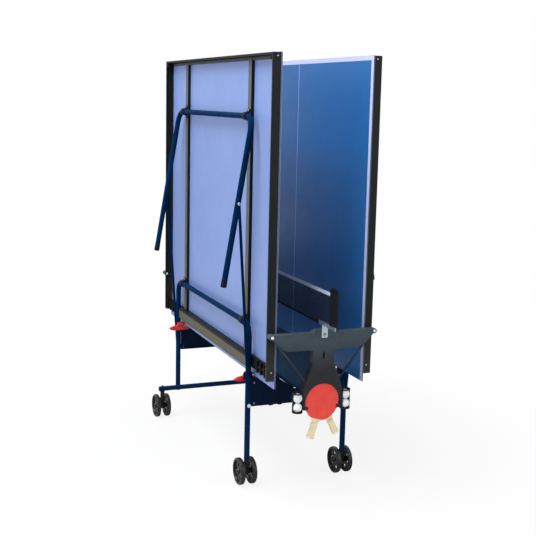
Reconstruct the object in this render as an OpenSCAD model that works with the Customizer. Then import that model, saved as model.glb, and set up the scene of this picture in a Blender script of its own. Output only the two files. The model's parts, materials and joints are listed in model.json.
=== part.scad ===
// Folding table-tennis table, stored upright on its own castors.
// The origin is on the floor under the middle of the chassis.
// X runs along the table, Y along the net and Z up. The front is -Y, the right half is +X.
// Every right-hand piece is drawn once and mirrored for the left half.

/* [Table top] */
// Width of the top, along the net
top_w = 1525; // [1450:5:1600]
// Length of one half of the top
half_l = 1370; // [1300:5:1400]
// Thickness of the playing board
board_t = 5; // [4:0.5:6]
// Height of the playing surface above the floor when a half is down
play_z = 760; // [740:5:780]
// Distance of the net edge from the pivot, along the board
net_edge_drop = 229; // [226:1:235]
// Gap between the two boards at the net when both are down
net_gap = 6; // [4:1:12]
// Depth of the steel apron round the board
apron_d = 35; // [32:1:40]
// How far the board overhangs the net end of the side aprons
net_overhang = 35; // [30:1:45]
// Depth of the two long rails under a board
rail_d = 14; // [12:1:18]
// Distance of the long rails and their clamps from the middle
rail_y = 450; // [400:5:470]

/* [Chassis] */
// Outside diameter of the frame tubes
tube_d = 25; // [22:0.5:28]
// Wall thickness of the frame tubes
tube_wall = 1.5; // [1:0.1:2]
// Centre-line radius of the tube bends
bend_r = 60; // [45:5:80]
// Distance of the uprights and legs from the middle
upright_y = 530; // [510:5:550]
// Height of the lower end of the front uprights
front_end_z = 114; // [112:1:125]
// Height of the centre of the rear foot tube
foot_z = 155; // [150:1:170]
// Half length of the rear foot tube
foot_reach = 340; // [330:5:360]
// Height of the lower edge of the end panels
panel_low_z = 358; // [340:1:370]
// Height of the upper edge of the end panels beside the uprights
panel_top_z = 486; // [470:1:490]
// Height of the bottom of the notch in the end panels
notch_z = 420; // [410:1:440]
// Height of the upper edge of the centre web
web_top_z = 645; // [600:1:650]

/* [Folding legs] */
// Distance of the leg pivot from the chassis pivot, along the board
leg_pivot_up = 883; // [860:1:900]
// Outward tilt of the legs when stored
leg_tilt = 9.5; // [8:0.5:11]
// Distance of the strut bolt from the leg pivot, along the leg
strut_reach = 368; // [360:1:380]
// Width of the flat struts
strut_w = 12; // [10:1:13]
// Thickness of the flat struts
strut_t = 4; // [3:0.5:5]

/* [Castors] */
// Diameter of the castor wheels
wheel_d = 120; // [110:1:125]
// Thickness of one castor wheel
wheel_t = 22; // [18:1:24]
// Width over both wheels of a twin castor
castor_w = 76; // [74:1:90]
// Horizontal distance of the axle behind the swivel axis
castor_trail = 18; // [12:1:24]
// Angle to which the castors are turned
castor_turn = 0; // [0:1:20]
// Distance of the rear castors from the middle of the foot tube
rear_castor_x = 325; // [315:1:330]

/* [Net] */
// Height of the net above the playing surface
net_h = 152.5; // [150:0.5:155]
// Distance of the inner face of the net posts from the middle
post_y = 855; // [850:1:880]
// Length of a net post along the net
post_l = 54; // [45:1:60]

/* [Bat and ball holder] */
// Distance of the front face of the holder from the middle
holder_y = 800; // [799:1:810]
// Width of the holder column
column_w = 96; // [90:1:100]
// Height of the middle of the bat blades
bat_z = 438; // [434:1:446]
// Width of a bat blade
bat_w = 152; // [146:1:154]
// Height of a bat blade
bat_h = 166; // [156:1:168]
// Diameter of a ball
ball_d = 40; // [38:0.5:40]
// Lean of the front bat's handle from vertical
bat_lean_front = 18; // [10:1:25]
// Lean of the rear bat's handle from vertical
bat_lean_rear = 27; // [20:1:35]

/* [Hidden] */

$fn = 48;
over = 1;              // overlap of every cut past the face it opens
sheet_t = 1.2;         // rolled apron and rail sheet
plate_t = 1.5;         // chassis sheet
run_gap = 0.05;        // radial clearance of a shaft in its hole
slide_gap = 0.3;       // clearance between sliding faces
tube_r = tube_d / 2;

// Pivot of a half: the chassis crossbar that its clamps turn on
stand_off = board_t + rail_d + 0.5 + tube_r;
pivot_z = play_z - stand_off;
pivot_x = net_edge_drop + net_gap / 2;
surface_x = pivot_x - stand_off;
back_x = surface_x + board_t;
net_edge_z = pivot_z - net_edge_drop;
top_z = net_edge_z + half_l;

// Aprons, 2 mm inside the edges of the board
edge_inset = 2;
apron_y = top_w / 2 - edge_inset;
apron_low_z = net_edge_z + net_overhang;
apron_top_z = top_z - edge_inset;
apron_flange = 25;
apron_lip = 10;
apron_screw_x = back_x + 14;
cross_rail_h = 55;
cross_rail_d = 29;
cross_rail_y = upright_y - tube_r - 12;
rail_w = 38;
rail_face_x = back_x + rail_d;

// Leg linkage: the strut's lower pivot is where the bolt has the same reach stored and down
leg_pivot_z = pivot_z + leg_pivot_up;
strut_drop = leg_pivot_up * strut_reach * cos(leg_tilt)
  / (leg_pivot_up + strut_reach * (1 - cos(leg_tilt)));
strut_pivot_z = pivot_z - strut_drop;
bolt_out = strut_reach * sin(leg_tilt);
bolt_up = leg_pivot_up - strut_reach * cos(leg_tilt) + strut_drop;
strut_l = norm([bolt_out, bolt_up]);
strut_lean = atan2(bolt_out, bolt_up);
strut_y = upright_y + tube_r + 1;
pin_r = 4;
screw_r = 2.5;

// Castors
wheel_r = wheel_d / 2;
rear_foot_y = upright_y - tube_d;
rear_end_z = foot_z - tube_r - 4;

// Holder, in its own front view
holder_d = 33.5;
wall = 2.5;
face_t = 3;
ear_r = 11;
cup_r = bat_w / 2 + 5;
cup_w = cup_r + 7;
arch_h = bat_h / 2 + 5;
cup_low_z = bat_z - 30;
hood_low_z = bat_z + 62;
hood_top_z = 606;
ball_x = cup_w + ball_d / 2 + 1;
ball_low_z = bat_z - 17;
ball_y = 12 - holder_y;

// ---------- outlines ----------

function unit(v) = v / norm(v);

function arc(c, r, from, turn, n = 8) =
  [for (k = [0:n]) c + r * [cos(from + turn * k / n), sin(from + turn * k / n)]];

// Outline p with each corner rounded; r is one radius or a list with one for each corner
function rounded(p, r, n = 4) = [
  for (i = [0:len(p) - 1])
    let (
      b = p[i],
      u = unit(p[(i + len(p) - 1) % len(p)] - b),
      v = unit(p[(i + 1) % len(p)] - b),
      ri = is_list(r) ? r[i] : r,
      half = acos(u * v) / 2,
      c = b + unit(u + v) * ri / sin(half),
      s = b + u * ri / tan(half) - c,
      e = b + v * ri / tan(half) - c,
      turn = (atan2(e.y, e.x) - atan2(s.y, s.x) + 540) % 360 - 180
    )
    each ri == 0 ? [b] : arc(c, ri, atan2(s.y, s.x), turn, n)
];

// Anticlockwise outline p moved inwards by d
function inset(p, d) = [
  for (i = [0:len(p) - 1])
    let (
      u = unit(p[i] - p[(i + len(p) - 1) % len(p)]),
      v = unit(p[(i + 1) % len(p)] - p[i]),
      m = [-u.y, u.x],
      n = [-v.y, v.x]
    )
    p[i] + d * (m + n) / (1 + m * n)
];

// Right half of an outline, from bottom to top, closed with its mirror image
function both_halves(p) = concat(p, [for (i = [len(p) - 1:-1:0]) [-p[i].x, p[i].y]]);

function rect(w, h) = [[-w / 2, -h / 2], [w / 2, -h / 2], [w / 2, h / 2], [-w / 2, h / 2]];

// Rolled channel: web along Y, one flange at its foot and one at its top
function channel(web, foot, top) = rounded(
  [[foot, 0], [foot, sheet_t], [sheet_t, sheet_t], [sheet_t, web - sheet_t],
   [top, web - sheet_t], [top, web], [0, web], [0, 0]],
  [0, 0, 0, 0, 0, 0, 1.5 * sheet_t, 1.5 * sheet_t], 3);

// ---------- placing ----------

module at_side(s) { mirror([s < 0 ? 1 : 0, 0, 0]) children(); }
module at_end(e) { mirror([0, e > 0 ? 1 : 0, 0]) children(); }
module both_ends() { for (e = [-1, 1]) at_end(e) children(); }

// An XZ outline as a sheet whose front face is at y, going back by t
module sheet_y(y, t) { translate([0, y + t, 0]) rotate([90, 0, 0]) linear_extrude(t) children(); }
// A YZ outline as a sheet from x on, thick t
module sheet_x(x, t) { translate([x, 0, 0]) rotate([90, 0, 90]) linear_extrude(t) children(); }
// A bar along Y, centred on the origin
module bar_y(r, l) { rotate([90, 0, 0]) cylinder(r = r, h = l, center = true); }

// Bent tube of radius r: a crossbar through the origin, and two legs down by the two drops
module bent_tube(r, drop_front, drop_rear) {
  reach = upright_y - bend_r;
  bar_y(r, 2 * reach);
  for (e = [-1, 1]) at_end(e) {
    drop = e < 0 ? drop_front : drop_rear;
    translate([0, -reach, -bend_r])
      rotate([90, 0, -90]) rotate_extrude(angle = 90) translate([bend_r, 0]) circle(r);
    translate([0, -upright_y, -drop]) cylinder(r = r, h = drop - bend_r);
  }
}

module hollow_bent_tube(drop_front, drop_rear) {
  difference() {
    bent_tube(tube_r, drop_front, drop_rear);
    bent_tube(tube_r - tube_wall, drop_front + over, drop_rear + over);
  }
}

// Solid of revolution: a round-edged cap of radius r and height h
module cap(r, h, edge) {
  rotate_extrude() polygon(concat([[0, 0], [r, 0]], arc([r - edge, h - edge], edge, 0, 90, 5), [[0, h]]));
}

// Pan-head screw pointing along -Z with its head seated on z = 0
module screw(r, length, head_r, head_h) {
  translate([0, 0, -length]) cylinder(r = r, h = length + head_h / 2);
  cap(head_r, head_h, 0.8 * head_h);
}

// Clearance hole of a screw or pin of radius r, along Z through the origin
module hole(r, depth) { cylinder(r = r + run_gap, h = 2 * depth, center = true); }

// ---------- chassis ----------

ear_z = [panel_low_z + 14, panel_top_z - 22];
ear_x = pivot_x - tube_r - 12;
ear_screw_x = ear_x - 4;
guide_z = 500;
guide_x = [pivot_x - 13, pivot_x + 1];
guide_plate_y = -upright_y + tube_r - 0.5;
guide_plate_t = 3;

module frame(s) {
  color([0.06, 0.11, 0.18]) at_side(s) {
    difference() {
      translate([pivot_x, 0, pivot_z])
        hollow_bent_tube(pivot_z - front_end_z, pivot_z - rear_end_z);
      both_ends() translate([pivot_x, -upright_y - tube_r, strut_pivot_z])
        rotate([90, 0, 0]) hole(pin_r, tube_wall + over);
    }
    both_ends() {
      // welded ears behind the end panel
      for (z = ear_z)
        sheet_y(-upright_y + plate_t / 2, 2) difference() {
          translate([ear_x, z]) square([26, 22], center = true);
          translate([ear_screw_x, z]) circle(screw_r + run_gap);
        }
      // welded guide plate of the latch
      sheet_y(guide_plate_y, guide_plate_t) difference() {
        translate([pivot_x - 4, guide_z - 4]) polygon(rounded(rect(42, 32), 6));
        for (x = guide_x) translate([x, guide_z]) circle(screw_r + run_gap);
      }
    }
  }
}

module foot_tube() {
  color([0.06, 0.11, 0.18]) translate([0, rear_foot_y, foot_z]) difference() {
    rotate([0, 90, 0]) cylinder(r = tube_r, h = 2 * foot_reach, center = true);
    rotate([0, 90, 0])
      cylinder(r = tube_r - tube_wall, h = 2 * foot_reach + 2 * over, center = true);
    for (x = [-rear_castor_x, rear_castor_x])
      translate([x, 0, -tube_d]) cylinder(r = stem_r + run_gap, h = 2 * tube_d);
  }
}

// Plugs in the ends of the foot tube, of the rear uprights and of the front uprights
module foot_caps() {
  plug_r = tube_r - tube_wall - run_gap;
  color([0.08, 0.08, 0.09]) for (s = [-1, 1]) at_side(s) {
    translate([foot_reach, rear_foot_y, foot_z]) rotate([0, 90, 0]) {
      translate([0, 0, -8]) cylinder(r = plug_r, h = 10);
      cap(tube_r, 4, 3);
    }
    translate([pivot_x, upright_y, rear_end_z]) {
      translate([0, 0, -2]) cylinder(r = plug_r, h = 12);
      mirror([0, 0, 1]) cap(tube_r, 4, 3);
    }
    translate([pivot_x, -upright_y, front_end_z]) difference() {
      cylinder(r = plug_r, h = socket_h);
      hole(stem_r, socket_h + over);
    }
  }
}

panel_edge_x = pivot_x - tube_r - 1;
notch_out_x = 103;
notch_in_x = 8;
panel_flange = 12;

function panel_outline() = both_halves([
  [panel_edge_x, panel_low_z], [panel_edge_x, panel_top_z],
  [notch_out_x, panel_top_z], [notch_in_x, notch_z]
]);

module end_panel(e) {
  color([0.1, 0.1, 0.15]) at_end(e) difference() {
    union() {
      sheet_y(-upright_y - plate_t / 2, plate_t) polygon(panel_outline());
      // folded flanges along the upper edges and the lower edge
      sheet_y(-upright_y - plate_t / 2, panel_flange) difference() {
        polygon(panel_outline());
        translate([0, -plate_t]) polygon(panel_outline());
      }
      sheet_y(-upright_y - plate_t / 2, panel_flange) difference() {
        polygon(panel_outline());
        translate([0, plate_t]) polygon(panel_outline());
        translate([-pivot_x, panel_low_z + 2 * plate_t]) square([2 * pivot_x, panel_top_z]);
      }
    }
    for (s = [-1, 1], z = ear_z)
      translate([s * ear_screw_x, -upright_y, z]) rotate([90, 0, 0]) hole(screw_r, plate_t);
  }
}

web_tip_y = top_w / 2 + 2.5;
web_tip_z = [575, web_top_z];
web_flange = 20;
holder_bolt_x = 30;
holder_bolt_z = [590, 630];

module centre_web() {
  color([0.1, 0.19, 0.27]) {
    sheet_x(-plate_t / 2, plate_t) polygon(both_halves([
      [upright_y + 25, notch_z], [700, 550], [web_tip_y, 590], [web_tip_y, web_top_z]
    ]));
    // folded flanges along the top edge and, between the end panels, along the bottom edge
    sheet_x(-web_flange / 2, web_flange) {
      translate([0, web_top_z - plate_t / 2]) square([2 * web_tip_y, plate_t], center = true);
      translate([0, notch_z + plate_t / 2]) square([2 * (upright_y - 20), plate_t], center = true);
    }
    // end plates that carry the holders
    both_ends() sheet_y(-web_tip_y - plate_t, plate_t) difference() {
      translate([0, (web_tip_z[0] + web_tip_z[1]) / 2])
        polygon(rounded(rect(88, web_tip_z[1] - web_tip_z[0]), 6));
      for (x = [-1, 1], z = holder_bolt_z)
        translate([x * holder_bolt_x, z]) circle(screw_r + run_gap);
    }
  }
}

module chassis_screws() {
  color("silver") both_ends() {
    for (s = [-1, 1]) at_side(s) {
      for (z = ear_z)
        translate([ear_screw_x, -upright_y - plate_t / 2, z])
          rotate([90, 0, 0]) screw(screw_r, 6, 5, 2.2);
      for (z = holder_bolt_z)
        translate([holder_bolt_x, -web_tip_y, z])
          rotate([-90, 0, 0]) screw(screw_r, 20, 5, 2.2);
      for (x = guide_x)
        translate([x, latch_y + latch_d + slide_gap, guide_z])
          rotate([-90, 0, 0]) screw(screw_r, latch_d + 3, 5, 3);
    }
    translate([0, -holder_y - tab_t, tab_bolt_z]) rotate([90, 0, 0])
      screw(3, tab_t + face_t + 3, 6, 2.5);
  }
}

// Pins through the holder ears and the side aprons, and pins of the struts in the uprights
module pivot_pins() {
  color("gainsboro") both_ends() for (s = [-1, 1]) at_side(s) {
    translate([pivot_x, -holder_y, pivot_z]) rotate([90, 0, 0]) {
      screw(pin_r, holder_y - apron_y + 12, 6.5, 3);
      translate([0, 0, -(holder_y - apron_y) - 10]) cylinder(r = 6.5, h = 5, $fn = 6);
    }
    translate([pivot_x, -strut_y - strut_t - slide_gap, strut_pivot_z])
      rotate([90, 0, 0]) screw(pin_r, strut_t + 4, 8, 3);
  }
}

// ---------- net ----------

net_arm_low = play_z + 2;
net_arm_h = 18;
net_arm_y = 743;
net_post_z = net_arm_low + net_arm_h;
tab_t = 2.5;
tab_bolt_z = 730;

module net_arms() {
  color("silver") both_ends() {
    translate([-1.5, -post_y - 45, net_arm_low]) cube([3, post_y + 45 - net_arm_y, net_arm_h]);
    // top flange that the post stands on
    translate([-10, -post_y - 45, net_post_z - 2]) cube([20, 45, 2]);
    // tab bolted to the face of the holder
    sheet_y(-holder_y - tab_t, tab_t) difference() {
      translate([0, 742]) polygon(rounded(rect(27, 54), 3));
      translate([0, tab_bolt_z]) circle(3 + run_gap);
    }
  }
}

module net_posts() {
  color([0.08, 0.08, 0.09]) both_ends() difference() {
    union() {
      translate([0, -post_y - post_l / 2, net_post_z]) linear_extrude(net_h - 4)
        polygon(rounded(rect(18, post_l), 6));
      // screw clamp on top that tightens the net cord
      translate([0, -post_y - 14, net_post_z + net_h - 4]) cylinder(r = 8, h = 7);
      translate([0, -post_y - 30, net_post_z + net_h - 4]) linear_extrude(4)
        polygon(rounded(rect(12, 34), 4));
    }
    // slot that takes the edge of the net
    translate([-1.3, -post_y - 8, net_post_z - over]) cube([2.6, 8 + over, net_h + 2 * over - 4]);
  }
}

// Stretched between the posts; its lower corners clear the arms
module net() {
  color([0.12, 0.12, 0.14]) sheet_x(-1, 2) polygon(both_halves([
    [net_arm_y - 0.5, play_z + 2], [net_arm_y - 0.5, net_post_z + 0.5],
    [post_y + 6, net_post_z + 0.5], [post_y + 6, play_z + net_h]
  ]));
}

// ---------- holder ----------

// Right half of the front view above the pocket: column, wing and the raised middle
upper_edge = [
  [column_w / 2, hood_top_z], [column_w / 2, 663], [170, 666], [pivot_x - 2, pivot_z - ear_r + 2],
  [pivot_x - 2, pivot_z + ear_r - 2], [52, pivot_z + 8], [36, pivot_z + 20]
];

// Half width of the sloping hood at height z
function hood_x(z) = cup_w + (column_w / 2 - cup_w) * (z - hood_low_z) / (hood_top_z - hood_low_z);

hollow_low_z = bat_z + arch_h + 6;

function holder_outline() =
  both_halves(concat([[cup_w, cup_low_z], [cup_w, hood_low_z]], upper_edge));
function hollow_outline() =
  inset(both_halves(concat([[hood_x(hollow_low_z), hollow_low_z]], upper_edge)), wall);

// Arched opening as wide as the pocket, its arch centred at height z; lip narrows its foot
function arch(z, lip) = both_halves(concat(
  [[cup_r - lip, cup_low_z - over]],
  lip > 0 ? [[cup_r - lip, cup_low_z + 14], [cup_r, cup_low_z + 14]] : [],
  [for (k = [0:11]) [cup_r * cos(7.5 * k), z + arch_h * sin(7.5 * k)]]
));

module holder(e) {
  color([0.22, 0.26, 0.3]) at_end(e) difference() {
    union() {
      difference() {
        sheet_y(-holder_y, holder_d) polygon(rounded(holder_outline(), 5, 3));
        sheet_y(-holder_y + face_t, holder_d) polygon(rounded(hollow_outline(), 3, 3));
      }
      // ears on the pivots
      for (x = [-pivot_x, pivot_x])
        translate([x, -holder_y + holder_d / 2, pivot_z]) bar_y(ear_r, holder_d);
      // bosses for the screws of the centre web
      for (x = [-1, 1], z = holder_bolt_z)
        translate([x * holder_bolt_x, -holder_y + (holder_d + 1) / 2, z]) bar_y(5, holder_d - 1);
      for (s = [-1, 1]) at_side(s) {
        brace();
        ball_tube();
      }
    }
    // pocket of the bats, open below, and the window in its face with a lip on each side
    sheet_y(-holder_y + face_t, holder_d - 2 * face_t) polygon(arch(bat_z, 0));
    sheet_y(-holder_y - over, face_t + 2 * over) polygon(arch(bat_z - 8, 16));
    // slot in the column
    sheet_y(-holder_y - over, face_t + 2 * over)
      translate([0, 640]) polygon(rounded(rect(7, 30), 3.4));
    // bores of the pivots, of the screws and of the net bolt
    for (x = [-pivot_x, pivot_x])
      translate([x, -holder_y + holder_d / 2, pivot_z]) bar_y(pin_r + run_gap, holder_d + 2 * over);
    for (x = [-1, 1], z = holder_bolt_z)
      translate([x * holder_bolt_x, -holder_y + holder_d, z]) rotate([90, 0, 0]) hole(screw_r, 20);
    translate([0, -holder_y, tab_bolt_z]) rotate([90, 0, 0]) hole(3, 2 * face_t);
  }
}

module brace() {
  from = [pivot_x - 6, pivot_z - 8];
  to = [cup_w - 16, hood_low_z + 25];
  sheet_y(-holder_y + 8, 8) polygon(concat(
    arc(from, 3, atan2(from.y - to.y, from.x - to.x) - 90, 180, 6),
    arc(to, 3, atan2(from.y - to.y, from.x - to.x) + 90, 180, 6)
  ));
}

// Upright tube for two balls, open in front between a ring at its foot and one at its top
module ball_tube() {
  r = ball_d / 2 + 0.4;
  translate([ball_x, ball_y, ball_low_z - ball_d / 2 - 2]) difference() {
    cylinder(r = r + 2, h = 2 * ball_d + 6);
    translate([0, 0, 2]) cylinder(r = r, h = 2 * ball_d + 6);
    translate([-r + 4, -r - 4, 4]) cube([2 * r, r, 2 * ball_d - 4]);
  }
}

module balls() {
  color([0.95, 0.95, 0.92]) for (s = [-1, 1], k = [0, 1])
    translate([s * ball_x, ball_y, ball_low_z + k * ball_d]) sphere(d = ball_d);
}

// ---------- bats ----------

grip_w = 27;
grip_l = 100;
bat_near_y = -holder_y + face_t + 5.5;
bat_far_y = bat_near_y + 10.5;

function blade_outline(w, h) = [
  for (k = [0:35]) let (a = 10 * k) [w / 2 * sin(a), h / 2 * cos(a) * (cos(a) < 0 ? 0.98 : 1)]
];

module bat_place(lean, y) {
  translate([0, y, bat_z]) rotate([90, 0, 0]) rotate(lean) children();
}

module bat_wood(lean, y) {
  color("burlywood") bat_place(lean, y) {
    linear_extrude(6, center = true) union() {
      polygon(blade_outline(bat_w, bat_h));
      polygon([[-24, -bat_h / 2 + 12], [24, -bat_h / 2 + 12], [grip_w / 2, -bat_h / 2 - 12],
               [grip_w / 2, -bat_h / 2 - 70], [-grip_w / 2, -bat_h / 2 - 70],
               [-grip_w / 2, -bat_h / 2 - 12]]);
    }
    // flared grip
    translate([0, -bat_h / 2 - 14, 0]) intersection() {
      rotate([90, 0, 0]) linear_extrude(66) polygon(rounded(rect(34, 21), 8));
      linear_extrude(30, center = true)
        polygon([[-12, 0], [-11.5, -30], [-14.5, -66], [14.5, -66], [11.5, -30], [12, 0]]);
    }
  }
}

module bat_rubber(lean, y) {
  color("indianred") bat_place(lean, y) for (m = [0, 1]) mirror([0, 0, m])
    translate([0, 0, 3]) linear_extrude(2) difference() {
      polygon(blade_outline(bat_w - 1, bat_h - 1));
      translate([-bat_w, -bat_h]) square([2 * bat_w, bat_h / 2 + 8]);
    }
}

// ---------- halves ----------

module board(s) {
  color([0.12, 0.3, 0.5]) at_side(s) sheet_x(surface_x, board_t)
    translate([0, net_edge_z + half_l / 2]) polygon(rounded(rect(top_w, half_l), 5));
}

apron_screw_z = [apron_low_z + 37, apron_top_z - 14];

// Plane of the 45 degree mitre at the outer corner; side 0 is the side apron's waste
module mitre_waste(side) {
  translate([0, -apron_y, apron_top_z]) rotate([-45, 0, 0])
    translate([back_x - over, -100, side == 0 ? 0 : -200]) cube([apron_d + 2 * over, 300, 200]);
}

module apron_side(s, e) {
  color([0.12, 0.13, 0.14]) at_side(s) at_end(e) difference() {
    translate([back_x, -apron_y, apron_low_z]) mirror([1, -1, 0])
      linear_extrude(apron_top_z - apron_low_z) polygon(channel(apron_d, apron_flange, apron_lip));
    mitre_waste(0);
    translate([pivot_x, -apron_y, pivot_z]) rotate([90, 0, 0]) hole(pin_r, over + sheet_t);
    for (z = apron_screw_z)
      translate([apron_screw_x, -apron_y, z]) rotate([90, 0, 0]) hole(2, over + sheet_t);
  }
}

module apron_end(s) {
  color([0.12, 0.13, 0.14]) at_side(s) difference() {
    translate([back_x, apron_y, apron_top_z]) rotate([90, 90, 0])
      linear_extrude(2 * apron_y) polygon(channel(apron_d, apron_flange, apron_lip));
    both_ends() mitre_waste(1);
  }
}

// Under-frame: two long rails welded to a deeper cross rail between the uprights
module rails(s) {
  sink = sheet_t / 2;
  low = apron_low_z + cross_rail_h - sink;
  color([0.5, 0.48, 0.44]) at_side(s) difference() {
    union() {
      translate([back_x + sheet_t + cross_rail_d, -cross_rail_y, apron_low_z]) rotate([90, 0, 180])
        linear_extrude(2 * cross_rail_y) polygon(channel(cross_rail_h, cross_rail_d, cross_rail_d));
      both_ends() translate([rail_face_x, -rail_y + rail_w / 2, low]) rotate(180)
        linear_extrude(apron_top_z - apron_flange - low) polygon(channel(rail_w, rail_d, rail_d));
    }
    both_ends() for (z = clamp_z, k = [-24, 24])
      translate([rail_face_x, -rail_y, z + k]) rotate([0, 90, 0]) hole(screw_r, 2 * sheet_t);
  }
}

// Moulded blocks: one joins the cross rail to each side apron and passes behind the upright,
// one fills each outer corner of the aprons
module corner_blocks(s) {
  x0 = back_x + sheet_t;
  wall_y = apron_y - sheet_t;
  h = cross_rail_h - 2 * sheet_t;
  shallow = 11;
  color([0.08, 0.08, 0.09]) at_side(s) both_ends() {
    difference() {
      translate([0, -wall_y, apron_low_z + sheet_t]) {
        // tongue inside the cross rail, web behind the upright and block on the apron
        translate([x0, wall_y - cross_rail_y, 0]) cube([cross_rail_d - sheet_t, 30, h]);
        translate([x0, 0, 0]) cube([shallow, wall_y - cross_rail_y + over, h]);
        translate([x0, 0, 0]) cube([cross_rail_d, 26, h]);
        // ribs between the upright and the apron
        for (y = [52, 96, 140]) translate([x0, y, 0]) cube([cross_rail_d - 6, 7, h]);
        translate([x0, 0, h / 2 - 3]) cube([cross_rail_d - 10, 147, 6]);
      }
      translate([apron_screw_x, -apron_y, apron_screw_z[0]]) rotate([90, 0, 0]) hole(2, 14);
    }
    difference() {
      translate([x0, -wall_y, apron_top_z - sheet_t - 28]) cube([apron_d - 2 * sheet_t, 28, 28]);
      translate([apron_screw_x, -apron_y, apron_screw_z[1]]) rotate([90, 0, 0]) hole(2, 14);
    }
  }
}

clamp_w = 36;
clamp_z = [pivot_z, leg_pivot_z];
clamp_r = tube_r + 4.5;

module clamps(s) {
  color([0.08, 0.08, 0.09]) at_side(s) both_ends() for (z = clamp_z)
    translate([pivot_x, -rail_y, z]) difference() {
      sheet_y(-clamp_w / 2, clamp_w) union() {
        polygon(concat([[rail_face_x - pivot_x, -clamp_r]], arc([0, 0], clamp_r, -90, 180, 12),
                       [[rail_face_x - pivot_x, clamp_r]]));
        translate([rail_face_x - pivot_x, -30]) square([5, 60]);
      }
      bar_y(tube_r + run_gap, clamp_w + 2 * over);
      for (k = [-24, 24])
        translate([rail_face_x - pivot_x, 0, k]) rotate([0, 90, 0]) hole(screw_r, 6);
    }
}

module half_screws(s) {
  color("silver") at_side(s) both_ends() {
    for (z = clamp_z, k = [-24, 24])
      translate([rail_face_x + 5, -rail_y, z + k]) rotate([0, 90, 0]) screw(screw_r, 8, 5, 2.2);
    // screws through the side apron into the moulded blocks
    for (z = apron_screw_z)
      translate([apron_screw_x, -apron_y, z]) rotate([90, 0, 0]) screw(2, 12, 3, 1.5);
  }
}

// ---------- legs and struts ----------

foot_h = 30;

module leg_place(s) {
  at_side(s) translate([pivot_x, 0, leg_pivot_z]) rotate([0, -leg_tilt, 0]) children();
}

module leg_frame(s) {
  drop = pivot_z - foot_h;
  color([0.06, 0.11, 0.18]) leg_place(s) hollow_bent_tube(drop, drop);
}

// Moulded ends that plug into the legs; they stop half a millimetre above the floor when a half is down
module leg_feet(s) {
  color([0.08, 0.08, 0.09]) leg_place(s) both_ends() translate([0, -upright_y, foot_h - pivot_z]) {
    translate([0, 0, -2]) cylinder(r = tube_r - tube_wall - run_gap, h = 24);
    mirror([0, 0, 1]) cap(tube_r + 0.8, foot_h - 0.5, 4);
  }
}

module struts(s) {
  r = strut_w / 2;
  color([0.06, 0.11, 0.18]) at_side(s) both_ends()
    translate([pivot_x, 0, strut_pivot_z]) rotate([0, strut_lean, 0])
      difference() {
        sheet_y(-strut_y - strut_t, strut_t)
          polygon(concat(arc([0, strut_l], r, 0, 180, 8), arc([0, 0], r, 180, 180, 8)));
        for (z = [0, strut_l])
          translate([0, -strut_y, z]) bar_y(pin_r + run_gap, 3 * strut_t);
      }
}

// Riveted bolts at the upper ends of the struts; they end just short of the leg tubes
module strut_bolts(s) {
  color("silver") at_side(s) both_ends()
    translate([pivot_x, 0, strut_pivot_z]) rotate([0, strut_lean, 0])
      translate([0, -strut_y - strut_t, strut_l]) rotate([90, 0, 0])
        screw(pin_r, strut_t + 1 - slide_gap, 7, 3);
}

// ---------- latches ----------

latch_travel = 8;
latch_d = 16;
latch_y = guide_plate_y + guide_plate_t + slide_gap;
latch_low_z = 470;

// Front view: a long lens with a hump over the guide screws and a hook on the inner end
function latch_outline() = rounded([
  [pivot_x + 61, latch_low_z + 8], [pivot_x + 38, latch_low_z + 18], [pivot_x + 16, latch_low_z + 22],
  [pivot_x + 8, latch_low_z + 41], [pivot_x - 20, latch_low_z + 41], [pivot_x - 25, latch_low_z + 20],
  [surface_x - 3, latch_low_z + 20], [surface_x - 5, latch_low_z + 25], [surface_x - 18, latch_low_z + 25],
  [pivot_x - 62, latch_low_z + 12], [pivot_x - 42, latch_low_z + 2], [pivot_x + 40, latch_low_z]
], [3, 14, 6, 7, 7, 2, 1, 4, 8, 4, 16, 16], 5);

module latch(s, e) {
  color("firebrick") at_side(s) at_end(e) difference() {
    union() {
      sheet_y(latch_y, latch_d) polygon(latch_outline());
      // finger ledge along the lower edge
      sheet_y(latch_y, latch_d + 6) intersection() {
        polygon(latch_outline());
        translate([pivot_x - 70, latch_low_z - over]) square([140, 7]);
      }
    }
    for (x = guide_x) guide_slot(x);
  }
}

// Upright slot round a guide screw, one travel long
module guide_slot(x) {
  r = screw_r + run_gap;
  travel = latch_travel + slide_gap;
  translate([x, latch_y + latch_d / 2, guide_z]) {
    for (dz = [-travel, 0]) translate([0, 0, dz]) bar_y(r, latch_d + 2 * over);
    translate([-r, -latch_d / 2 - over, -travel]) cube([2 * r, latch_d + 2 * over, travel]);
  }
}

// ---------- castors ----------

stem_r = 5.4;
socket_h = 30;
axle_r = 4;
hub_in = castor_w / 2 - wheel_t;

// Places: left or right side, front or rear end
function castor_x(e) = e < 0 ? pivot_x : rear_castor_x;
function castor_y(e) = e < 0 ? -upright_y : rear_foot_y;
function neck_z(e) = e < 0 ? front_end_z : foot_z - tube_r;

module castor_place(s, e) {
  translate([s * castor_x(e), castor_y(e), 0]) rotate(e > 0 ? -s * castor_turn : castor_turn) children();
}

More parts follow.
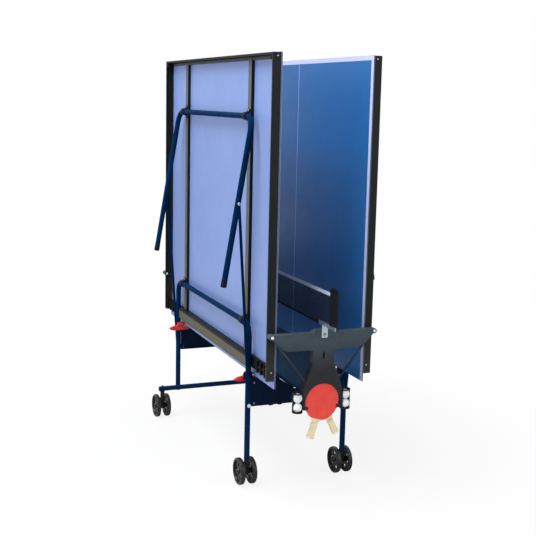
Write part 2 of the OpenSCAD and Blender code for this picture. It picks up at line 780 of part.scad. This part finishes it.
module castor(s, e) {
  neck = neck_z(e) - 1;
  color([0.1, 0.1, 0.11]) castor_place(s, e) {
    // body between the wheels, with a thicker root under the neck
    sheet_x(-8, 16) polygon(concat(
      arc([castor_trail, wheel_r], 18, 165, 215, 10), [[9, 106], [-9, 106]]
    ));
    sheet_x(-14, 28) polygon([[-8, 88], [14, 88], [8, 106], [-8, 106]]);
    translate([0, castor_trail, wheel_r]) rotate([0, 90, 0])
      cylinder(r = 14, h = 2 * hub_in - 2 * slide_gap, center = true);
    // neck, and the stem that turns in the tube
    translate([0, 0, 98]) cylinder(r = 11, h = neck - 98);
    translate([0, 0, neck - 3]) cylinder(r = tube_r - 0.5, h = 3);
    translate([0, 0, neck - 1]) cylinder(r = stem_r, h = socket_h + 1);
    // axle
    translate([0, castor_trail, wheel_r]) rotate([0, 90, 0])
      cylinder(r = axle_r, h = castor_w + 3, center = true);
  }
}

// Wheel on the axle: dished, with five open windows between tapered arms
module wheel(s, e, side) {
  w = wheel_t - slide_gap;
  rim = wheel_r - 11;
  castor_x0 = side * (hub_in + slide_gap / 2 + w / 2);
  color([0.14, 0.14, 0.14]) castor_place(s, e)
    translate([castor_x0, castor_trail, wheel_r]) rotate([0, side * 90, 0]) difference() {
      rotate_extrude($fn = 72) polygon(concat(
        [[axle_r + run_gap, -w / 2]], [[13, -w / 2], [13, -3], [rim - 2, -3], [rim, -w / 2 + 1]],
        arc([wheel_r - 6, -w / 2 + 6], 6, -90, 90, 4), arc([wheel_r - 6, w / 2 - 6], 6, 0, 90, 4),
        [[rim, w / 2 - 1], [rim - 2, 2], [14, 4], [11, w / 2], [axle_r + run_gap, w / 2]]
      ));
      for (k = [0:4]) rotate(72 * k) linear_extrude(wheel_t, center = true)
        polygon(rounded([[20, -4], [rim - 7, -12], [rim - 5, 0], [rim - 7, 12], [20, 4]], 3, 3));
    }
}

// ---------- nodes ----------

frame(-1);  // frame_left
frame(1);  // frame_right
foot_tube();
foot_caps();
end_panel(-1);  // end_panel_front
end_panel(1);  // end_panel_rear
centre_web();
chassis_screws();
pivot_pins();
net_arms();
net_posts();
net();
holder(-1);  // holder_front
holder(1);  // holder_rear
balls();
bat_wood(-bat_lean_front, bat_near_y);  // bat_near_wood
bat_rubber(-bat_lean_front, bat_near_y);  // bat_near_rubber
bat_wood(bat_lean_rear, bat_far_y);  // bat_far_wood
bat_rubber(bat_lean_rear, bat_far_y);  // bat_far_rubber
board(-1);  // board_left
board(1);  // board_right
apron_side(-1, -1);  // apron_front_left
apron_side(1, -1);  // apron_front_right
apron_side(-1, 1);  // apron_rear_left
apron_side(1, 1);  // apron_rear_right
apron_end(-1);  // apron_end_left
apron_end(1);  // apron_end_right
rails(-1);  // rails_left
rails(1);  // rails_right
corner_blocks(-1);  // corner_blocks_left
corner_blocks(1);  // corner_blocks_right
clamps(-1);  // clamps_left
clamps(1);  // clamps_right
half_screws(-1);  // half_screws_left
half_screws(1);  // half_screws_right
leg_frame(-1);  // leg_frame_left
leg_frame(1);  // leg_frame_right
leg_feet(-1);  // leg_feet_left
leg_feet(1);  // leg_feet_right
struts(-1);  // struts_left
struts(1);  // struts_right
strut_bolts(-1);  // strut_bolts_left
strut_bolts(1);  // strut_bolts_right
latch(-1, -1);  // latch_front_left
latch(1, -1);  // latch_front_right
latch(-1, 1);  // latch_rear_left
latch(1, 1);  // latch_rear_right
castor(-1, -1);  // castor_fl
castor(1, -1);  // castor_fr
castor(-1, 1);  // castor_rl
castor(1, 1);  // castor_rr
wheel(-1, -1, 1);  // wheel_fl_in
wheel(-1, -1, -1);  // wheel_fl_out
wheel(1, -1, -1);  // wheel_fr_in
wheel(1, -1, 1);  // wheel_fr_out
wheel(-1, 1, 1);  // wheel_rl_in
wheel(-1, 1, -1);  // wheel_rl_out
wheel(1, 1, -1);  // wheel_rr_in
wheel(1, 1, 1);  // wheel_rr_out
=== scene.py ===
"""Looks of the folding table-tennis table: finishes, net, floor, light and camera.

Every length is in metres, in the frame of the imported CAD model: X along the table,
Y along the net, Z up, the origin on the floor under the middle of the chassis.
"""

import json
import math

import bpy
from mathutils import Matrix, Vector


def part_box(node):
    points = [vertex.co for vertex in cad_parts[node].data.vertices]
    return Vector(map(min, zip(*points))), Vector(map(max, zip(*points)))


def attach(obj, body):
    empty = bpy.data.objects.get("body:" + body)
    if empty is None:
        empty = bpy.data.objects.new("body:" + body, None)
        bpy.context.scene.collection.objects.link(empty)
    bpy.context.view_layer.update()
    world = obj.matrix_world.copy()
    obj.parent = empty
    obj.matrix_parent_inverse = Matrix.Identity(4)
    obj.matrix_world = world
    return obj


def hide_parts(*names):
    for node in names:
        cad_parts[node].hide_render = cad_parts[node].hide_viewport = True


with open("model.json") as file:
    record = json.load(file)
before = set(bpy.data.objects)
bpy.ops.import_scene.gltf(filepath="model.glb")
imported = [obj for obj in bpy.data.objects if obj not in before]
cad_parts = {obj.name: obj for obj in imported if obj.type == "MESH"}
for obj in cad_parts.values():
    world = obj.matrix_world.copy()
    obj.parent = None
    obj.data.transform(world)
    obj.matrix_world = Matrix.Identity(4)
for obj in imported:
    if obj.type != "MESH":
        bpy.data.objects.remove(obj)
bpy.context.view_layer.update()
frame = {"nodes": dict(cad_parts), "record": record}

board_low, board_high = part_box("board_right")
rail_low, rail_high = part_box("rails_right")
net_low, net_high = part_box("net")
apron_top_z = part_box("apron_end_right")[1].z
# the holder darkens downwards from slate to near black between these heights, over its hood round
# the bats
hood_top_z, wing_low_z = 0.575, 0.700


# ---------- materials ----------

class Graph:
    """A node tree, with short ways to add nodes to it."""

    def __init__(self, tree):
        self.tree = tree
        tree.nodes.clear()

    def feed(self, socket, value):
        """Sets an input to a number or colour, or links it to another node's output."""
        if isinstance(value, bpy.types.NodeSocket):
            self.tree.links.new(value, socket)
        elif isinstance(value, tuple) and len(value) == 3 and socket.type == "RGBA":
            socket.default_value = (*value, 1)
        else:
            socket.default_value = value

    def new(self, kind, **inputs):
        """A new node. An input's name is written with _ for each space."""
        node = self.tree.nodes.new(kind)
        for name, value in inputs.items():
            self.feed(node.inputs[name.replace("_", " ")], value)
        return node

    def math(self, operation, a, b=0.0, c=None, clamp=False):
        node = self.new("ShaderNodeMath")
        node.operation = operation
        node.use_clamp = clamp
        self.feed(node.inputs[0], a)
        self.feed(node.inputs[1], b)
        if c is not None:
            self.feed(node.inputs[2], c)
        return node.outputs[0]

    def spread(self, value, low, high, to_low=0.0, to_high=1.0):
        """Maps low..high to to_low..to_high, and clamps it there."""
        node = self.new(
            "ShaderNodeMapRange",
            Value=value, From_Min=low, From_Max=high, To_Min=to_low, To_Max=to_high,
        )
        return node.outputs["Result"]

    def mix_shaders(self, factor, a, b):
        """Shader node a where factor is 0 and b where it is 1."""
        node = self.new("ShaderNodeMixShader")
        self.feed(node.inputs[0], factor)
        self.feed(node.inputs[1], a.outputs[0])
        self.feed(node.inputs[2], b.outputs[0])
        return node.outputs[0]


class Finish(Graph):
    """A procedural material: one Principled shader and the nodes that feed it.

    Patterns are laid out in object coordinates, so they keep their real size in metres
    and move with the body.
    """

    def __init__(self, name, **inputs):
        self.material = bpy.data.materials.new(name)
        self.material.use_nodes = True
        super().__init__(self.material.node_tree)
        self.shader = self.new("ShaderNodeBsdfPrincipled", **inputs)
        self.surface = self.new("ShaderNodeOutputMaterial").inputs["Surface"]
        self.feed(self.surface, self.shader.outputs["BSDF"])
        self.place = self.new("ShaderNodeTexCoord").outputs["Object"]

    def axis(self, name, magnitude=False):
        """One object coordinate, or its distance from the middle."""
        value = self.new("ShaderNodeSeparateXYZ", Vector=self.place).outputs[name]
        return self.math("ABSOLUTE", value) if magnitude else value

    def stretched(self, factors):
        """Object coordinates multiplied by a factor on each axis."""
        node = self.new("ShaderNodeVectorMath")
        node.operation = "MULTIPLY"
        self.feed(node.inputs[0], self.place)
        self.feed(node.inputs[1], factors)
        return node.outputs[0]

    def noise(self, size, detail=3.0, place=None, roughness=0.55):
        """Noise from 0 to 1 whose features are about size metres across."""
        node = self.new(
            "ShaderNodeTexNoise",
            Vector=place or self.place, Scale=1 / size, Detail=detail, Roughness=roughness,
        )
        return node.outputs["Fac"]

    def mix(self, factor, a, b):
        """Colour a where factor is 0 and b where it is 1."""
        node = self.new("ShaderNodeMix")
        node.data_type = "RGBA"
        self.feed(node.inputs["Factor"], factor)
        # a Mix node has its colour sockets after those for numbers and vectors
        self.feed(node.inputs[6], a)
        self.feed(node.inputs[7], b)
        return node.outputs[2]

    def varied(self, colour, amount, size):
        """A colour that drifts darker and lighter by amount, in patches of that size."""
        dark = tuple(c * (1 - amount) for c in colour)
        light = tuple(min(1, c * (1 + amount)) for c in colour)
        return self.mix(self.spread(self.noise(size), 0.3, 0.7), dark, light)

    def colour(self, value):
        self.feed(self.shader.inputs["Base Color"], value)

    def roughness(self, low, high, size):
        """Roughness from low to high, in patches of that size."""
        value = self.spread(self.noise(size, 4), 0.3, 0.7, low, high)
        self.feed(self.shader.inputs["Roughness"], value)

    def bump(self, height, depth):
        """height is from 0 to 1; depth is its real depth."""
        node = self.new("ShaderNodeBump", Strength=1, Distance=depth, Height=height)
        self.feed(self.shader.inputs["Normal"], node.outputs[0])


def powder_coat(
    name, colour, gloss, low, high, dust=0.0, dust_z=0.45, reflection_below_z=None, ior=1.5, **inputs
):
    """Powder-coated steel: a fine orange peel, slight drift of tone, dust below dust_z, and a
    painted grey reflection below the height given for it. Its roughness runs from low to high."""
    f = Finish(name, IOR=ior, Specular_IOR_Level=gloss, **inputs)
    paint = f.varied(colour, 0.10, 0.09)
    if reflection_below_z is not None:
        # painted reflection: a grey strip laid over the paint below that height
        painted_grey_reflection = f.varied((0.084, 0.088, 0.104), 0.12, 0.04)
        paint = f.mix(f.math("LESS_THAN", f.axis("Z"), reflection_below_z), paint, painted_grey_reflection)
    if dust:
        full_dust_z = 0.05
        low_down = f.spread(f.axis("Z"), full_dust_z, dust_z, dust, 0.0)
        patches = f.spread(f.noise(0.03, 5), 0.35, 0.75, 0.4, 1.0)
        paint = f.mix(f.math("MULTIPLY", low_down, patches), paint, (0.22, 0.21, 0.16))
    f.colour(paint)
    f.roughness(low, high, 0.03)
    f.bump(f.noise(0.0016, 2), 0.00001)
    return f.material


def moulded(name, colour, gloss, low=0.42, high=0.58, drift=0.10, **inputs):
    """Moulded plastic with a fine spark-eroded grain and a few upright scuffs."""
    f = Finish(name, IOR=1.48, Specular_IOR_Level=gloss, **inputs)
    scuffs = f.spread(f.noise(0.004, 6, f.stretched((1, 1, 0.12))), 0.62, 0.8, 0.0, 0.2)
    lighter = tuple(min(1, c * 1.5 + 0.01) for c in colour)
    f.colour(f.mix(scuffs, f.varied(colour, drift, 0.05), lighter))
    f.roughness(low, high, 0.02)
    f.bump(f.noise(0.0009, 2), 0.00002)
    return f.material


def holder_plastic():
    """Slate plastic of the holder, darkening towards the bottom to near black over the hood round
    the bats.
    """
    f = Finish("holder", IOR=1.48, Specular_IOR_Level=0.2)
    hood = f.spread(f.axis("Z"), hood_top_z, wing_low_z, 1.0, 0.0)
    slate = f.varied((0.045, 0.064, 0.078), 0.12, 0.05)
    f.colour(f.mix(hood, slate, f.varied((0.016, 0.018, 0.021), 0.15, 0.03)))
    f.roughness(0.40, 0.55, 0.02)
    f.bump(f.noise(0.0009, 2), 0.00002)
    return f.material


def zinc_plate(name, colour):
    """Zinc-plated or galvanised steel with a faint spangle."""
    f = Finish(name, Metallic=0.85)
    cells_per_metre = 140
    cells = f.new("ShaderNodeTexVoronoi", Vector=f.place, Scale=cells_per_metre)
    tone = f.spread(cells.outputs["Distance"], 0.0, 0.9)
    f.colour(f.mix(tone, colour, tuple(c * 0.8 for c in colour)))
    f.roughness(0.3, 0.5, 0.01)
    f.bump(f.noise(0.002, 3), 0.00001)
    return f.material


def board_finish():
    """Playing side in satin blue with its white lines, light blue back and dark edges."""
    f = Finish("board", IOR=1.5, Specular_IOR_Level=0.7)
    skin = 0.0006  # a point this close to a side is painted like it
    border, half_centre_line = 0.020, 0.0015
    across = f.axis("Y", magnitude=True)
    out = f.axis("X", magnitude=True)
    playing = f.math("LESS_THAN", out, board_low.x + skin)
    under = f.math("GREATER_THAN", out, board_high.x - skin)

    side_line = f.math("GREATER_THAN", across, board_high.y - border)
    end_line = f.math("GREATER_THAN", f.axis("Z"), board_high.z - border)
    centre_line = f.math("LESS_THAN", across, half_centre_line)
    lines = f.math("MAXIMUM", f.math("MAXIMUM", side_line, end_line), centre_line)

    blue = f.varied((0.006, 0.104, 0.325), 0.03, 0.30)
    speckle = f.spread(f.noise(0.0012, 2), 0.35, 0.65, 0, 0.12)
    blue = f.mix(speckle, blue, (0.012, 0.132, 0.390))
    face = f.mix(lines, blue, f.varied((0.50, 0.54, 0.80), 0.04, 0.02))
    back = f.varied((0.174, 0.257, 0.546), 0.05, 0.5)
    speckle = f.spread(f.noise(0.0014, 2), 0.4, 0.6, 0, 0.10)
    back = f.mix(speckle, back, (0.141, 0.213, 0.480))
    edge = f.varied((0.010, 0.022, 0.045), 0.15, 0.05)
    f.colour(f.mix(playing, f.mix(under, edge, back), face))
    f.roughness(0.36, 0.46, 0.08)
    f.bump(f.noise(0.0009, 2), 0.000008)
    return f.material


def rail_finish():
    """Rolled rails: black, with a painted reflection on the outer face that is grey, turns olive
    low down and stops short of the rolled lips of the cross rail."""
    f = Finish("rail", IOR=1.5, Specular_IOR_Level=0.06)
    # just behind the faces of the long rails, measured in from that of the deeper cross rail
    face_depth = 0.0168
    low_lip_w, high_lip_w, high_lip_z = 0.004, 0.014, rail_low.z + 0.050
    # heights between which the painted reflection on the outer face turns from olive to grey
    olive_reflection_z, grey_reflection_z = 0.65, 1.15
    outer = f.math("GREATER_THAN", f.axis("X", magnitude=True), rail_high.x - face_depth)
    height = f.axis("Z")
    low_lip = f.math("LESS_THAN", height, rail_low.z + low_lip_w)
    from_high_lip = f.math("ABSOLUTE", f.math("SUBTRACT", height, high_lip_z))
    high_lip = f.math("LESS_THAN", from_high_lip, high_lip_w / 2)
    # the outer face without its lips, where the painted reflection lies over the black paint
    painted_reflection_mask = f.math("SUBTRACT", outer, f.math("MAXIMUM", low_lip, high_lip), clamp=True)
    cloudy = f.spread(f.noise(0.02, 5), 0.35, 0.7)
    # painted reflection of the pale surroundings: grey higher up, olive lower down
    grey_reflection = f.mix(cloudy, (0.086, 0.086, 0.090), (0.112, 0.112, 0.118))
    dust_and_olive_reflection = f.mix(cloudy, (0.076, 0.070, 0.047), (0.112, 0.104, 0.072))
    face = f.mix(f.spread(height, olive_reflection_z, grey_reflection_z), dust_and_olive_reflection, grey_reflection)
    f.colour(f.mix(painted_reflection_mask, f.varied((0.008, 0.009, 0.010), 0.2, 0.04), face))
    f.roughness(0.35, 0.5, 0.02)
    f.bump(f.noise(0.0016, 2), 0.00002)
    return f.material


def plywood():
    """Lacquered wood of grip and blade: long grain with fine dark pores."""
    f = Finish("plywood", IOR=1.5)
    grain = f.noise(0.0035, 6, f.stretched((1, 1, 0.06)), 0.65)
    tone = f.mix(f.spread(grain, 0.35, 0.7), (0.76, 0.61, 0.37), (0.92, 0.81, 0.58))
    pores = f.spread(f.noise(0.0009, 3, f.stretched((1, 1, 0.04))), 0.62, 0.7)
    f.colour(f.mix(f.math("MULTIPLY", pores, 0.35), tone, (0.45, 0.29, 0.14)))
    f.roughness(0.3, 0.45, 0.01)
    f.bump(grain, 0.00006)
    return f.material


def bat_rubber(name, colour, dust_colour):
    """Smooth rubber sheet, a little dusty, with a very fine skin."""
    f = Finish(name, IOR=1.5, Specular_IOR_Level=0.3)
    dust_and_olive_reflection = f.spread(f.noise(0.03, 5), 0.4, 0.75, 0, 0.18)
    f.colour(f.mix(dust_and_olive_reflection, f.varied(colour, 0.06, 0.04), dust_colour))
    f.roughness(0.32, 0.5, 0.012)
    f.bump(f.noise(0.0007, 2), 0.00002)
    return f.material


def celluloid():
    """Matt white ball with faint scuffs."""
    f = Finish("celluloid", IOR=1.5, Subsurface_Weight=0.15, Subsurface_Scale=0.01)
    scuffs = f.spread(f.noise(0.004, 6), 0.55, 0.75, 0, 0.12)
    f.colour(f.mix(scuffs, (0.80, 0.84, 0.85), (0.55, 0.58, 0.60)))
    f.roughness(0.45, 0.6, 0.006)
    f.bump(f.noise(0.0006, 2), 0.00001)
    return f.material


def wheel_finish():
    """Hard black wheel with patches of dust."""
    f = Finish("wheel", IOR=1.48, Specular_IOR_Level=0.32)
    dust = f.spread(f.noise(0.012, 6), 0.4, 0.8, 0.0, 0.22)
    f.colour(f.mix(dust, f.varied((0.005, 0.005, 0.005), 0.2, 0.02), (0.04, 0.04, 0.034)))
    f.roughness(0.30, 0.46, 0.01)
    f.bump(f.noise(0.0012, 3), 0.00004)
    return f.material


def cloth(name, colour, thread, sheen):
    """Woven cloth, soiled in patches: threads along Y and Z that repeat every thread metres."""
    f = Finish(name, IOR=1.45, Specular_IOR_Level=0.15, Sheen_Weight=sheen)
    turn = 2 * math.pi / thread
    warp = f.math("SINE", f.math("MULTIPLY", f.axis("Y"), turn))
    weft = f.math("SINE", f.math("MULTIPLY", f.axis("Z"), turn))
    weave = f.spread(f.math("MULTIPLY", warp, weft), -1, 1)
    dark = tuple(c * 0.8 for c in colour)
    soiled = f.spread(f.noise(0.03, 4), 0.4, 0.75, 0, 0.35)
    f.colour(f.mix(soiled, f.mix(weave, dark, colour), dark))
    f.roughness(0.75, 0.9, 0.02)
    f.bump(weave, thread * 0.25)
    return f.material


blue_gloss = (0.10, 0.45, 1.0, 1.0)
apron_black = (0.009, 0.011, 0.012)
# the end aprons are black in their top 12 mm, with a painted grey reflection below
reflection_below_z = apron_top_z - 0.012
end_apron = powder_coat("end_apron", apron_black, 0.12, 0.40, 0.55, reflection_below_z=reflection_below_z)

# one finish for each material slot of the CAD record
finishes = {
    "board_blue": board_finish(),
    "apron_black": powder_coat("apron", apron_black, 0.12, 0.40, 0.55, dust=0.45, dust_z=0.80),
    "rail_steel": rail_finish(),
    "tube_navy": powder_coat(
        "tube", (0.0014, 0.017, 0.060), 0.004, 0.22, 0.30, dust=0.02, Specular_Tint=blue_gloss
    ),
    "panel_navy": powder_coat("panel", (0.002, 0.009, 0.030), 0.04, 0.38, 0.50),
    "plastic_black": moulded("black_plastic", (0.006, 0.007, 0.008), 0.10),
    "holder_grey": holder_plastic(),
    "plastic_white": celluloid(),
    "zinc": zinc_plate("zinc", (0.50, 0.56, 0.62)),
    "net_cloth": cloth("net_thread", (0.010, 0.010, 0.014), 0.0006, 0.0),
    "bat_ply": plywood(),
    "bat_rubber": bat_rubber("rubber_near", (0.80, 0.055, 0.042), (0.86, 0.16, 0.13)),
    "latch_red": moulded(
        "latch", (0.62, 0.010, 0.014), 0.3, 0.22, 0.34, drift=0.06, Coat_Weight=0.3
    ),
    "castor_black": moulded("castor", (0.011, 0.011, 0.012), 0.15),
    "wheel_black": wheel_finish(),
}
# nodes whose finish differs from that of their slot
special = {
    "apron_end_left": end_apron,
    "apron_end_right": end_apron,
    # the far bat's rubber is the near bat's red darkened, as painted shade behind the near bat
    "bat_far_rubber": bat_rubber("rubber_far_painted_shade", (0.20, 0.016, 0.018), (0.28, 0.05, 0.05)),
    "chassis_screws": zinc_plate("dull_zinc", (0.17, 0.19, 0.22)),
    # the centre web is the chassis navy made bluer: a painted reflection of the blue boards
    # beside it
    "centre_web": powder_coat("web", (0.004, 0.038, 0.092), 0.10, 0.40, 0.52, ior=1.2),
    "pivot_pins": moulded("pin", (0.70, 0.74, 0.76), 0.4, 0.30, 0.42),
}


def dress_nodes():
    """Gives every CAD node the finish of its material slot, or its own."""
    slots = {s["node"]: s["material_slot"] for s in frame["record"]["subparts"]}
    for name, node in frame["nodes"].items():
        node.data.materials.clear()
        node.data.materials.append(special.get(name) or finishes[slots[name]])


# ---------- net ----------

pitch = 0.0075  # from one strand of the mesh to the next
strand = 0.0021  # width of a strand
tape = 0.015  # width of the white tape along the top
band = 0.011  # width of the dark bands along the other edges
cloth_t = 0.0008
# the lower corners are cut away where the arms that carry the posts begin
arm_y, arm_z = 0.742, 0.781


def strand_edges(start, low, high, end):
    """Where the parts of the net meet along one axis: a border from start to low, gap and
    strand by turns, and a border from high to end."""
    count = round((high - low) / pitch)
    step = (high - low) / count
    edges = [start, low]
    for k in range(1, count):
        middle = low + step * k
        edges += [middle - strand / 2, middle + strand / 2]
    return edges + [high, end]


def stretched_net():
    """The net as one sheet with real openings, a white tape on top and dark bands elsewhere."""
    ys = strand_edges(net_low.y, net_low.y + band, net_high.y - band, net_high.y)
    zs = strand_edges(net_low.z, net_low.z + band, net_high.z - tape, net_high.z)
    last_column, last_row = len(ys) - 2, len(zs) - 2
    wave_depth, wave_y, wave_z = 0.0003, 9, 22
    verts, index = [], {}

    def vertex(i, k):
        if (i, k) not in index:
            slack = wave_depth * math.sin(ys[i] * wave_y) * math.sin((zs[k] - net_low.z) * wave_z)
            index[i, k] = len(verts)
            verts.append((slack, ys[i], zs[k]))
        return index[i, k]

    faces, kinds, area = [], [], 0.0
    for i in range(last_column + 1):
        for k in range(last_row + 1):
            edge = k in (0, last_row) or i in (0, last_column)
            is_open = i % 2 == 1 and k % 2 == 1 and not edge
            below_arm = abs(ys[i] + ys[i + 1]) / 2 > arm_y and zs[k + 1] < arm_z
            if is_open or below_arm:
                continue
            corners = (i, k), (i + 1, k), (i + 1, k + 1), (i, k + 1)
            faces.append([vertex(*corner) for corner in corners])
            kinds.append(1 if k == last_row else 0)
            area += (ys[i + 1] - ys[i]) * (zs[k + 1] - zs[k])
    mesh = bpy.data.meshes.new("stretched_net")
    mesh.from_pydata(verts, [], faces)
    mesh.polygons.foreach_set("material_index", kinds)
    mesh.materials.append(finishes["net_cloth"])
    mesh.materials.append(cloth("net_tape", (0.52, 0.56, 0.68), 0.0007, 0.2))
    net = bpy.data.objects.new("stretched_net", mesh)
    bpy.context.scene.collection.objects.link(net)
    thick = net.modifiers.new("cloth", "SOLIDIFY")
    thick.thickness = cloth_t
    thick.offset = 0
    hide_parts("net")
    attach(net, "chassis")


# ---------- floor, light and camera ----------

def floor():
    """Pale floor that keeps the shadow and fades to white away from the table."""
    reach = 30
    fade_start, fade_end, least_white = 0.5, 1.7, 0.84
    mesh = bpy.data.meshes.new("floor")
    corners = [(-reach, -reach, 0), (reach, -reach, 0), (reach, reach, 0), (-reach, reach, 0)]
    mesh.from_pydata(corners, [], [(0, 1, 2, 3)])
    plane = bpy.data.objects.new("floor", mesh)
    bpy.context.scene.collection.objects.link(plane)

    f = Finish("floor_paint", Roughness=0.9)
    f.colour(f.varied((0.62, 0.62, 0.62), 0.01, 0.4))
    glow = f.new("ShaderNodeEmission")
    path = f.new("ShaderNodeLightPath").outputs
    seen = f.math("MAXIMUM", path["Is Camera Ray"], path["Is Transmission Ray"])
    length = f.new("ShaderNodeVectorMath")
    length.operation = "LENGTH"
    f.feed(length.inputs[0], f.place)
    white = f.spread(length.outputs["Value"], fade_start, fade_end, least_white, 1.0)
    f.feed(f.surface, f.mix_shaders(f.math("MULTIPLY", white, seen), f.shader, glow))
    mesh.materials.append(f.material)


def studio_world(horizon, zenith, gloss):
    """Pale surroundings, from horizon level to zenith level. Reflections see them lighter by
    gloss, and the camera sees white."""
    world = bpy.data.worlds.new("studio")
    bpy.context.scene.world = world
    world.use_nodes = True
    w = Graph(world.node_tree)
    direction = w.new("ShaderNodeTexCoord").outputs["Generated"]
    height = w.new("ShaderNodeSeparateXYZ", Vector=direction).outputs["Z"]
    level = w.spread(height, 0.0, 1.0, horizon, zenith)
    path = w.new("ShaderNodeLightPath").outputs
    level = w.math("MULTIPLY_ADD", path["Is Glossy Ray"], gloss, level)
    light = w.new("ShaderNodeBackground", Color=(0.95, 0.98, 1), Strength=level)
    white = w.new("ShaderNodeBackground", Color=(1, 1, 1))
    seen = w.math("MAXIMUM", path["Is Camera Ray"], path["Is Transmission Ray"])
    w.new("ShaderNodeOutputWorld", Surface=w.mix_shaders(seen, light, white))


def softbox(name, place, target, size, watts):
    """A square lamp that faces the target."""
    lamp = bpy.data.lights.new(name, "AREA")
    lamp.shape = "SQUARE"
    lamp.size = size
    lamp.energy = watts
    obj = bpy.data.objects.new(name, lamp)
    obj.location = place
    obj.rotation_euler = (Vector(target) - Vector(place)).to_track_quat("-Z", "Y").to_euler()
    bpy.context.scene.collection.objects.link(obj)


def camera():
    """Camera in front of the table and to its left, at eye height."""
    place = Vector((-1.7241, -4.4644, 1.6888))
    yaw, tilt, roll = 0.3767, 0.1668, 0.0210
    level = math.cos(tilt)
    forward = Vector((math.sin(yaw) * level, math.cos(yaw) * level, -math.sin(tilt)))
    right = Vector((math.cos(yaw), -math.sin(yaw), 0))
    up = right.cross(forward)
    rolled_right = math.cos(roll) * right + math.sin(roll) * up
    rolled_up = math.cos(roll) * up - math.sin(roll) * right

    data = bpy.data.cameras.new("camera")
    data.sensor_width = 36
    data.lens = 67.27836
    data.shift_x, data.shift_y = 0.0069029853, -0.0029850747
    view = bpy.data.objects.new("camera", data)
    turn = Matrix((rolled_right, rolled_up, -forward)).transposed().to_4x4()
    view.matrix_world = Matrix.Translation(place) @ turn
    bpy.context.scene.collection.objects.link(view)
    bpy.context.scene.camera = view


dress_nodes()
stretched_net()
floor()
studio_world(horizon=0.18, zenith=0.90, gloss=0.50)
softbox("side", (-4.6, -0.6, 2.6), target=(0, 0, 1.0), size=4.0, watts=75)
softbox("overhead", (-1.7, -0.5, 4.8), target=(0, 0, 1.0), size=2.4, watts=220)
softbox("front", (1.8, -4.2, 2.4), target=(0, 0, 0.8), size=3.0, watts=50)
camera()
bpy.context.scene.view_settings.view_transform = "Standard"
